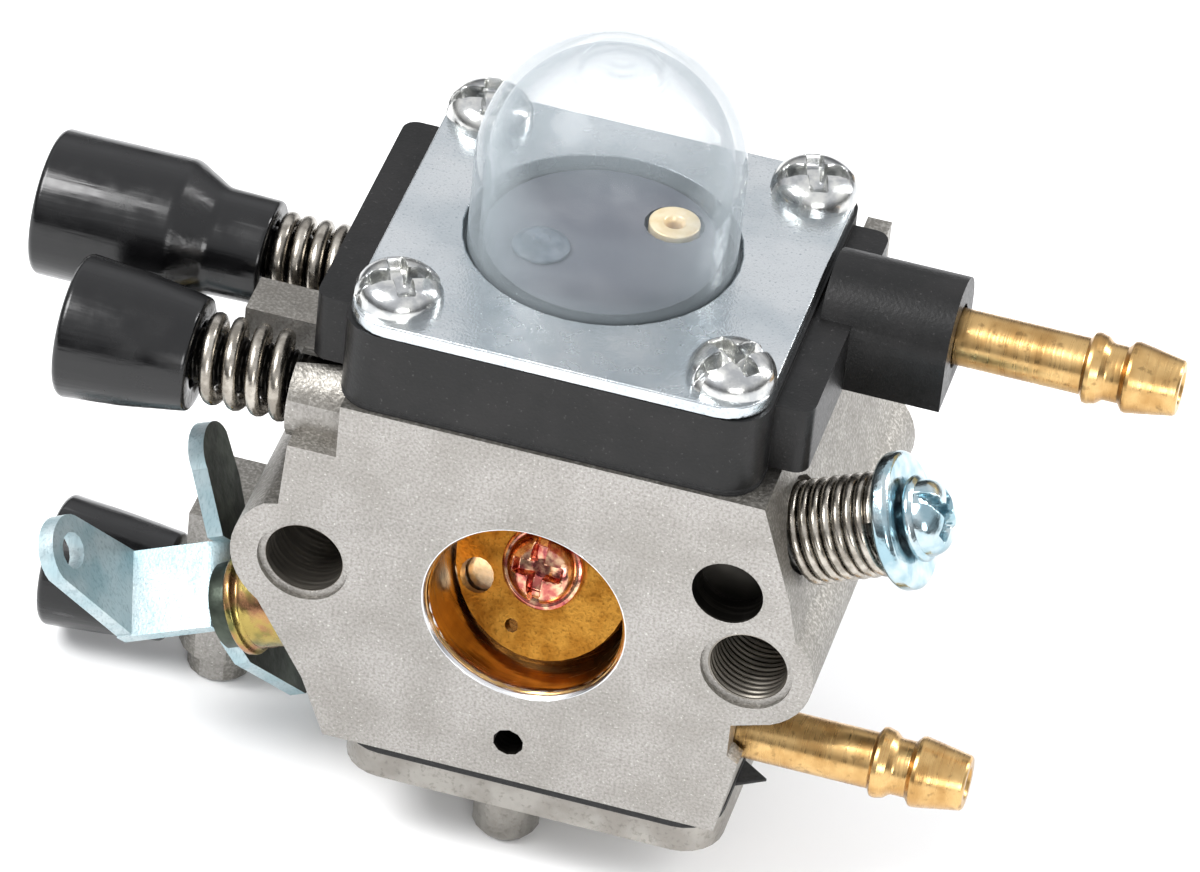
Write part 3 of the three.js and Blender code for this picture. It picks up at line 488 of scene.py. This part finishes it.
def pan_head(name, radius, height, origin, axis, spin):
    """A pan head with a cross recess and a slot from edge to edge, turned by spin about its axis.

    A square grid is pressed into a disc. Height is a super-ellipse of the radius,
    h = H (1 - (r / R)^3.2)^(1 / 2.4), less a smooth-walled cross and slot; a flat disc closes it below.
    """
    side = np.linspace(-1, 1, HEAD_GRID)
    u, v = np.meshgrid(side, side)
    x = u * np.sqrt(1 - v * v / 2) * radius
    y = v * np.sqrt(1 - u * u / 2) * radius
    r = np.clip(np.hypot(x, y) / radius, 0, 1)
    h = height * np.clip(1 - r ** 3.2, 0, 1) ** (1 / 2.4)
    arm = CROSS_ARM * radius
    reach = CROSS_REACH * radius
    soft = 0.035 * radius
    across_x = smooth_step(arm + soft, arm - soft, np.abs(x))
    across_y = smooth_step(arm + soft, arm - soft, np.abs(y))
    along_x = smooth_step(reach + soft, reach - 3 * soft, np.abs(x))
    along_y = smooth_step(reach + soft, reach - 3 * soft, np.abs(y))
    cross = np.maximum(across_x * along_y, across_y * along_x)
    centre = smooth_step(arm * 2.3, arm * 1.2, np.abs(x) + np.abs(y))
    recess = np.maximum(cross, centre) * (1.12 - 0.55 * r / CROSS_REACH) * 0.8 * height
    slot = smooth_step(arm * 0.8 + soft, arm * 0.8 - soft, np.abs(x)) * 0.42 * height
    h = np.maximum(h - np.maximum(recess, slot), 0.02 * height)
    h[[0, -1], :] = 0
    h[:, [0, -1]] = 0
    turn_x = x * math.cos(spin) - y * math.sin(spin)
    turn_y = x * math.sin(spin) + y * math.cos(spin)
    across, other, along = basis(axis)
    flat = np.asarray(origin) + turn_x[..., None] * across + turn_y[..., None] * other
    top = flat + h[..., None] * along
    count = HEAD_GRID * HEAD_GRID
    row, column = np.meshgrid(np.arange(HEAD_GRID - 1), np.arange(HEAD_GRID - 1), indexing="ij")
    first = row * HEAD_GRID + column
    quads = np.stack([first, first + 1, first + HEAD_GRID + 1, first + HEAD_GRID], -1).reshape(-1, 4)
    points = np.concatenate([top.reshape(-1, 3), flat.reshape(-1, 3)]) * MM
    mesh = bpy.data.meshes.new(name)
    mesh.from_pydata(points.tolist(), [], np.concatenate([quads, quads[:, ::-1] + count]).tolist())
    cleaned(mesh)
    return shown(name, mesh, 60)


def joined(name, *parts):
    """Several new meshes kept as one piece."""
    work = bmesh.new()
    for part in parts:
        work.from_mesh(part.data)
        bpy.data.objects.remove(part)
    mesh = bpy.data.meshes.new(name)
    work.to_mesh(mesh)
    work.free()
    return shown(name, mesh)


def softened(node, name, materials, width=0.2, choose=None, segments=2, sharp=38):
    """A merged copy of a CAD node with its edges broken, painted face by face by choose."""
    mesh = frame["nodes"][node].data.copy()
    mesh.materials.clear()
    cleaned(mesh, flatten=True)
    piece = shown(name, mesh, sharp)
    if choose:
        for face in mesh.polygons:
            face.material_index = choose(np.array(face.center) / MM, np.array(face.normal))
    for extra in materials:
        mesh.materials.append(extra)
    if width:
        bevel = piece.modifiers.new("broken_edges", "BEVEL")
        bevel.width = width * MM
        bevel.segments = segments
        bevel.limit_method = "ANGLE"
        bevel.angle_limit = math.radians(sharp)
        bevel.miter_outer = "MITER_ARC"
        bevel.use_clamp_overlap = True
        bevel.harden_normals = True
    belongs(piece, node)
    return piece


def mounting_hole(name, x, length, depth, lead):
    """A tube along Y whose inner wall is threaded, or ringed when lead is 0; its outer wall is plain.

    Inner r(h, a) = radius - depth (1 + cos(2 pi h / pitch - lead a)) / 2.
    """
    pitch = 0.5
    sides = 72
    h = np.linspace(0, length, int(length / pitch * 8) + 1)[:, None]
    angle = np.linspace(0, 2 * np.pi, sides, endpoint=False)[None, :]
    inner = MOUNT_HOLE_R - depth * (1 + np.cos(2 * np.pi * h / pitch - lead * angle)) / 2
    outer = np.full((2, sides), MOUNT_HOLE_R + HOLE_SKIN)
    r = np.concatenate([inner, outer])[..., None]
    up = np.concatenate([h, [[length], [0]]])[..., None]
    across, other, along = basis(Y_AXIS)
    ring = np.cos(angle)[..., None] * across + np.sin(angle)[..., None] * other
    skin = np.array([x, MOUNT_HOLE_FROM, 0]) + r * ring + up * along
    # The lining is painted darker for the shade inside the hole.
    lining(piece_from(name, skin, wrap_rows=True), BORE_PAINTED_SHADE)


# ---- body and covers ----
def body_face_finish(centre, normal):
    """0 blasted face, 1 cast skin, 2 bore wall, 3 bright cut metal, 4 drilled holes painted darker for
    shade, 5 deep ones painted near black for shade.
    """
    from_axis = math.hypot(centre[0], centre[2])
    for x, z, reach, finish in DRILLED_HOLES:
        if math.hypot(centre[0] - x, centre[2] - z) < reach and 0.55 < centre[1] < 28:
            return finish
    if from_axis < BORE_FINISH_R and 0.5 < centre[1] < 11:
        return 2
    if from_axis < MOUTH_FINISH_R and abs(normal[1]) < 0.98 and (centre[1] < 1 or centre[1] > 10):
        return 3
    if centre[1] < 0.01 or abs(normal[1]) > 0.98:
        return 0
    return 1


def purge_base_finish(centre, normal):
    """1 on the coated floor under the bulb, 0 elsewhere."""
    from_bulb = math.hypot(*(centre - middle_mm("primer_bulb"))[:2])
    return int(centre[2] > BULB_FLOOR_Z and normal[2] > 0.9 and from_bulb < BULB_FLOOR_R)


def stack_pieces():
    """The casting and what is screwed to it; the pump sheets' front edge is drawn a little forward."""
    finishes = [CAST, CAST_SKIN, BORE_WALL, BRIGHT, BORE_PAINTED_SHADE, DEEP_HOLE_PAINTED_SHADE]
    softened("body_casting", "cast_body", finishes, 0.22, body_face_finish)
    softened("pump_cover", "cast_pump_cover", [COVER_CAST], 0.45, segments=3)
    softened("purge_base", "moulded_purge_base", [NYLON, FLOOR_GREY], 0.3, purge_base_finish)
    softened("cover_plate", "pressed_cover_plate", [ZINC], 0.3, segments=3)
    for node in ("metering_gasket", "metering_diaphragm", "pump_gasket", "pump_diaphragm"):
        sheet = softened(node, node + "_sheet", [GASKET], 0.04)
        if node.startswith("pump"):
            for vertex in sheet.data.vertices:
                if vertex.co.y < SHEET_FRONT * MM:
                    vertex.co.y -= SHEET_PROUD * MM


def bore_linings():
    """Thin skins: the bore's bright chamfer, its reamed wall, and the two mounting holes."""
    mouth = [(7.3, 0.3), (7.14, 0.01), (7.06, 0.0), (6.9, 0.27), (6.95, 0.5), (7.3, 0.5), (7.3, 0.3)]
    lining(turned("turned_mouth_chamfer", mouth, (0, 0, 0), Y_AXIS, 0.05, 128, closed=True), BRIGHT)
    wall = [(7.1, 0.5), (6.92, 0.28), (6.7, 0.66), (6.7, 10.45), (5.56, 14.5), (5.56, 17.5), (7.5, 28.1),
            (7.7, 28.1), (5.75, 17.5), (5.75, 14.6), (6.82, 10.5), (6.85, 0.9), (7.1, 0.5)]
    lining(turned("reamed_bore_lining", wall, (0, 0, 0), Y_AXIS, 0.3, 128, closed=True), BORE_WALL)
    mounting_hole("threaded_mounting_hole", MOUNT_X, 16, 0.12, lead=1)
    mounting_hole("bored_mounting_hole", -MOUNT_X, 20, 0.03, lead=0)


def primer_bulb():
    """The bulb's outer and inner walls: a cylinder that runs into a dome, with a ringed nub on top.

    The dome is a quarter circle, less a narrow bell curve round the nub and a wide one at its middle.
    """
    low, high = box_mm("primer_bulb")
    centre = middle_mm("primer_bulb")
    flange_r = (high[0] - low[0]) / 2
    inner_r = BULB_R - BULB_WALL
    shoulder = high[2] - BULB_R
    arc = np.linspace(0, np.pi / 2, 60)

    def dome(r):
        across = r * np.cos(arc)
        up = shoulder + r * np.sin(arc) - NUB_DIP * np.exp(-((across - NUB_RING_R) / 0.4) ** 2)
        up -= 2 * NUB_DIP * np.exp(-(across / 1.1) ** 2)
        return list(zip(across, up))

    base = low[2]
    foot = base + 0.02
    step = base + BULB_FLANGE_H
    profile = [(inner_r, foot), (flange_r, foot), (flange_r, step), (BULB_R, step),
               *dome(BULB_R), *dome(inner_r)[::-1], (inner_r, foot)]
    piece = turned("clear_primer_bulb", profile, (centre[0], centre[1], 0), Z_AXIS, 0.05, 96, closed=True)
    finished(piece, "primer_bulb", CLEAR)
    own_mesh(piece)


def fixed_screws():
    """Four cover screws from above and one from below, each a headed and threaded shank."""
    for index, spin in enumerate((0.5, 0.2, 0.9, 0.35), start=1):
        node = f"cover_screw_{index}"
        low, high = box_mm(node)
        centre = middle_mm(node)
        seat = high[2] - COVER_SCREW_HEAD_H
        head = pan_head(node + "_head", COVER_SCREW_HEAD_R, COVER_SCREW_HEAD_H,
                        (centre[0], centre[1], seat), Z_AXIS, spin)
        reach = seat - low[2]
        shank = threaded(node + "_shank", [(SCREW_SHANK_R, 0), (SCREW_SHANK_R, reach)], (0.4, reach - 0.3),
                         SCREW_PITCH, SCREW_THREAD_DEPTH, (centre[0], centre[1], low[2]), Z_AXIS, 40)
        finished(joined("zinc_" + node, head, shank), node, ZINC_SCREW)
    low, high = box_mm("pump_cover_screw")
    centre = middle_mm("pump_cover_screw")
    seat = low[2] + COVER_SCREW_HEAD_H
    place = (centre[0], centre[1], seat)
    reach = high[2] - seat
    head = pan_head("pump_screw_head", COVER_SCREW_HEAD_R, COVER_SCREW_HEAD_H, place, -Z_AXIS, 0.3)
    shank = threaded("pump_screw_shank", [(SCREW_SHANK_R, 0), (SCREW_SHANK_R, reach)], (0.3, reach - 0.3),
                     SCREW_PITCH, SCREW_THREAD_DEPTH, place, Z_AXIS, 40)
    finished(joined("zinc_pump_cover_screw", head, shank), "pump_cover_screw", ZINC_SCREW)


def valves_under_bulb():
    """The ringed outlet seat and the rubber check valve's head and stem, both on the bulb's floor."""
    low, high = box_mm("outlet_valve_seat")
    centre = middle_mm("outlet_valve_seat")
    radius = (high[0] - low[0]) / 2
    profile = [(0.55, low[2]), (radius, low[2]), (radius, high[2]), (0.75, high[2]),
               (0.55, high[2] - 0.4), (0.55, low[2])]
    piece = turned("pale_valve_seat", profile, (centre[0], centre[1], 0), Z_AXIS, 0.12, 64, closed=True)
    finished(piece, "outlet_valve_seat", CREAM)
    low, high = box_mm("purge_check_valve")
    centre = middle_mm("purge_check_valve")
    profile = [(0, low[2]), (0.9, low[2]), (0.9, 20.9), (2, 20.85), (1.95, 21.05), (1.3, 21.4), (0.6, 21.45),
               (0.5, 21.7), (0, 21.7)]
    piece = turned("rubber_check_valve", profile, (centre[0], centre[1], 0), Z_AXIS, 0.12, 64)
    finished(piece, "purge_check_valve", RUBBER)


def hose_fittings():
    """Barbed tubes: two crests with crisp shoulders, a neck between and a taper to the open tip."""
    for node in ("return_fitting", "inlet_fitting"):
        low, high = box_mm(node)
        centre = middle_mm(node)
        tip = high[0]
        start = tip - 15.3
        inner = low[0] - start
        profile = [(0.9, inner), (1.95, inner), (1.95, 8.75), (2.4, 9.0), (2.45, 9.3), (2.3, 9.9),
                   (2.0, 10.25), (1.95, 10.4), (1.95, 11.35), (2.4, 11.7), (2.45, 11.95),
                   (2.3, 12.9), (1.9, 15.15), (1.75, 15.3), (1.15, 15.3), (0.95, 15.0), (0.9, 14.6),
                   (0.9, inner)]
        piece = turned("brass_" + node, profile, (start, centre[1], centre[2]), X_AXIS, 0.05, closed=True)
        finished(piece, node, BRASS)


# ---- adjusting screws ----
def adjusting_screw(prefix, screw_node, slim_r, sprung=True):
    """A threaded needle with its moulded cap and, when sprung, its spring."""
    cap_node = prefix + "_cap"
    spring_node = prefix + "_spring"
    low, high = box_mm(cap_node)
    centre = middle_mm(cap_node)
    length = high[0] - low[0]
    wide = (high[1] - low[1]) / 2
    if length > 12:
        body = [(wide - 0.25, 0), (wide, 0.3), (wide, 9.6), (3.75, 12.1), (3.65, length)]
    else:
        body = [(wide - 0.3, 0), (wide, 0.35), (wide * 0.93, length * 0.5), (slim_r, length)]
    profile = [(1.7, 1.0), (1.9, 0), *body, (2.3, length), (2.2, length - 1.8), (1.7, length - 2.2),
               (1.7, 1.0)]
    cap = turned(prefix + "_moulded_cap", profile, (low[0], centre[1], centre[2]), X_AXIS, 0.35,
                 closed=True)
    finished(cap, cap_node, CAP_PLASTIC)
    low, high = box_mm(screw_node)
    centre = middle_mm(screw_node)
    length = high[0] - low[0]
    profile = [(1.55, 0), (1.55, 3), (1.9, 3.05), (1.9, length - 3), (0.5, length)]
    stem = threaded(prefix + "_threaded_needle", profile, (3.1, length - 3), 0.6, 0.22,
                    (low[0], centre[1], centre[2]), X_AXIS)
    finished(stem, screw_node, DARK_THREAD)
    if not sprung:
        return
    low, high = box_mm(spring_node)
    centre = middle_mm(cap_node)
    span = high[0] - low[0]
    spring = coil(prefix + "_coil_spring", 2.62, NEEDLE_WIRE_R, span, NEEDLE_SPRING_TURNS,
                  (low[0], centre[1], centre[2]), X_AXIS, 0.5)
    finished(spring, spring_node, WIRE)
    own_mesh(spring)


# ---- throttle ----
def along_shaft(s):
    """The point on the throttle shaft's axis at s millimetres from its middle."""
    return SHAFT_CENTRE + s * SHAFT_AXIS


def lever_face_finish(centre, normal):
    """1 on the side of the flat plate that faces the body, which is painted dark for shade, 0 elsewhere."""
    s = float(np.dot(centre - SHAFT_CENTRE, SHAFT_AXIS))
    return int(s > LEVER_OUTER_S and float(np.dot(normal, SHAFT_AXIS)) > 0.9)


def throttle_pieces():
    """The shaft with all that turns with it, and the return spring; s runs along the shaft."""
    softened("throttle_shaft", "plated_throttle_shaft", [ZINC_SCREW], 0.12)
    # A sleeve round the shaft's neck, painted dark for the shade beside the lever.
    neck = [(2.8, 0), (3.03, 0.05), (3.03, 1.3), (2.8, 1.35), (2.8, 0)]
    sleeve = turned("shaft_neck_painted_shade", neck, along_shaft(-24.2), SHAFT_AXIS, 0.02, closed=True)
    lining(sleeve, SHADE_PAINTED_ZINC, "throttle_shaft")
    softened("throttle_plate", "brass_butterfly", [SHEET_BRASS], 0.1)
    # The lever's side that faces the body takes the painted shade.
    softened("throttle_lever", "folded_throttle_lever", [LEVER_ZINC, SHADE_PAINTED_ZINC], 0.2,
             lever_face_finish, 3)
    up = np.cross(SHAFT_AXIS, Y_AXIS)
    facing = -Y_AXIS * math.cos(PLATE_TILT) + up * math.sin(PLATE_TILT)
    seat = SHAFT_CENTRE + PLATE_SCREW_FACE * facing
    head = pan_head("plate_screw_head", 2.55, 1.4, seat, facing, 0.1)
    shank = turned("plate_screw_shank", [(0, -0.1), (1.3, -0.1), (1.3, 3.3), (0, 3.3)],
                   seat, -facing, 0.1, 48)
    rim = turned("plate_screw_rim", [(0, 0), (2.95, 0), (2.95, 0.3), (2.7, 0.42), (2.4, 0.36), (0, 0.36)],
                 seat, facing, 0.08, 64)
    finished(joined("copper_plate_screw", head, rim, shank), "throttle_plate_screw", COPPER)
    collar = [(2.8, 0), (3.35, 0), (3.6, 0.2), (3.6, 0.6), (3.35, 0.75), (3.2, 0.95), (3.25, 1.2),
              (3.25, 5.0), (2.8, 5.0), (2.8, 0)]
    sleeve = turned("passivated_collar", collar, along_shaft(-22.9), SHAFT_AXIS, 0.1, closed=True)
    finished(sleeve, "shaft_collar", YELLOW_ZINC)
    disc = [(1.5, 0), (4.45, 0), (4.65, 0.25), (4.65, 1.0), (4.4, 1.25), (1.5, 1.25), (1.5, 0)]
    washer = turned("zinc_spring_disc", disc, along_shaft(25.6), SHAFT_AXIS, 0.15, closed=True)
    finished(washer, "spring_disc", BLUE_ZINC)
    flange = turned("disc_screw_flange", [(0, 0), (2.7, 0), (2.9, 0.2), (2.9, 0.5), (2.6, 0.75), (0, 0.75)],
                    along_shaft(27.1), SHAFT_AXIS, 0.1, 64)
    head = pan_head("disc_screw_head", 2.6, 1.65, along_shaft(27.75), SHAFT_AXIS, 0.4)
    shank = turned("disc_screw_shank", [(0, 21), (1.2, 21), (1.2, 27.2), (0, 27.2)], along_shaft(0),
                   SHAFT_AXIS, 0.1, 48)
    finished(joined("zinc_disc_screw", flange, head, shank), "disc_screw", BLUE_ZINC)
    spring = coil("throttle_return_spring", 3.2, RETURN_WIRE_R, 6.5, 7.4, along_shaft(18.9), SHAFT_AXIS, 0.3,
                  leg=2.4)
    finished(spring, "return_spring", WIRE)


# ---- metering parts inside ----
def metering_pieces():
    """The small parts inside the casting: CAD shapes with broken edges, and a wound spring."""
    softened("diaphragm_button", "riveted_diaphragm_button", [ZINC_SCREW], 0.08)
    softened("metering_lever", "pressed_metering_lever", [ZINC_SCREW], 0.08)
    softened("metering_lever_pin", "ground_lever_pin", [WIRE], 0.05)
    softened("lever_pin_screw", "slotted_pin_screw", [ZINC_SCREW], 0.08)
    softened("inlet_needle", "pointed_inlet_needle", [WIRE], 0.06)
    softened("main_nozzle", "pressed_main_nozzle", [BRASS], 0.06)
    softened("inlet_screen", "woven_inlet_screen", [WIRE], 0.05)
    low, high = box_mm("metering_spring")
    centre = middle_mm("metering_spring")
    spring = coil("fine_metering_spring", 1.05, 0.18, high[2] - low[2], 4.5,
                  (centre[0], centre[1], low[2]), Z_AXIS)
    finished(spring, "metering_spring", WIRE)


# ---- studio ----
def camera():
    """Long lens from the front right and above, tipped a few degrees."""
    target = Vector((2.13, 8.36, 9.83)) * MM
    towards = Vector((0.1608, -0.7689, 0.6188)).normalized()
    up = Vector((-0.2321, 0.5799, 0.7809))
    right = up.cross(towards).normalized()
    up = towards.cross(right)
    data = bpy.data.cameras.new("studio_camera")
    data.lens = 252.75
    data.sensor_width = 36
    data.clip_start = 0.01
    lens = bpy.data.objects.new("studio_camera", data)
    place = Matrix((right, up, towards)).transposed().to_4x4()
    place.translation = target + towards * 563.5 * MM
    lens.matrix_world = place
    bpy.context.scene.collection.objects.link(lens)
    bpy.context.scene.camera = lens


def area_light(name, place, size, power):
    """A rectangular white lamp, aimed at the middle of the object."""
    data = bpy.data.lights.new(name, "AREA")
    data.shape = "RECTANGLE"
    data.size, data.size_y = size
    data.energy = power
    lamp = bpy.data.objects.new(name, data)
    lamp.location = Vector(place)
    lamp.rotation_euler = (Vector((0, 0.01, 0)) - lamp.location).to_track_quat("-Z", "Y").to_euler()
    bpy.context.scene.collection.objects.link(lamp)


def studio():
    """A white tent: bright overhead, darker low down so that bright metal has something to reflect."""
    bpy.context.scene.view_settings.view_transform = "Standard"
    world = bpy.data.worlds.new("white_tent")
    world.use_nodes = True
    tree = world.node_tree
    height = add(tree, "SeparateXYZ", {0: add(tree, "TexCoord")}, 2)
    glow = {"Value": height, "From Min": 0.12, "From Max": 0.55, "To Min": 0.16, "To Max": 1.02}
    tree.links.new(add(tree, "MapRange", glow), tree.nodes["Background"].inputs["Strength"])
    tree.nodes["Background"].inputs["Color"].default_value = linear("fbfcff")
    bpy.context.scene.world = world
    area_light("key_softbox", (-0.32, -0.2, 0.5), (0.3, 0.3), 4.5)
    area_light("rim_strip", (0.42, 0.32, 0.3), (0.1, 0.5), 2.5)
    area_light("front_fill", (0.3, -0.6, 0.2), (0.3, 0.2), 1.6)
    mesh = bpy.data.meshes.new("pale_floor")
    reach = 1.5
    low = cad_box[0][2] - 0.0002
    corners = [(-reach, -reach, low), (reach, -reach, low), (reach, reach, low), (-reach, reach, low)]
    mesh.from_pydata(corners, [], [(0, 1, 2, 3)])
    floor = bpy.data.objects.new("pale_floor", mesh)
    bpy.context.scene.collection.objects.link(floor)
    paper = surface("matt_white_paper", "f1f1f1", [(30.0, EVEN, 0.3, 0.7, 1.0, "f5f5f5")],
                    (5.0, EVEN, 0.85, 0.95))
    mesh.materials.append(paper)


camera()
studio()
stack_pieces()
bore_linings()
primer_bulb()
fixed_screws()
valves_under_bulb()
hose_fittings()
adjusting_screw("low_speed", "low_speed_needle", 3.9)
adjusting_screw("high_speed", "high_speed_needle", 3.65)
adjusting_screw("idle", "idle_screw", 3.9, sprung=False)
throttle_pieces()
metering_pieces()

bpy.context.view_layer.update()
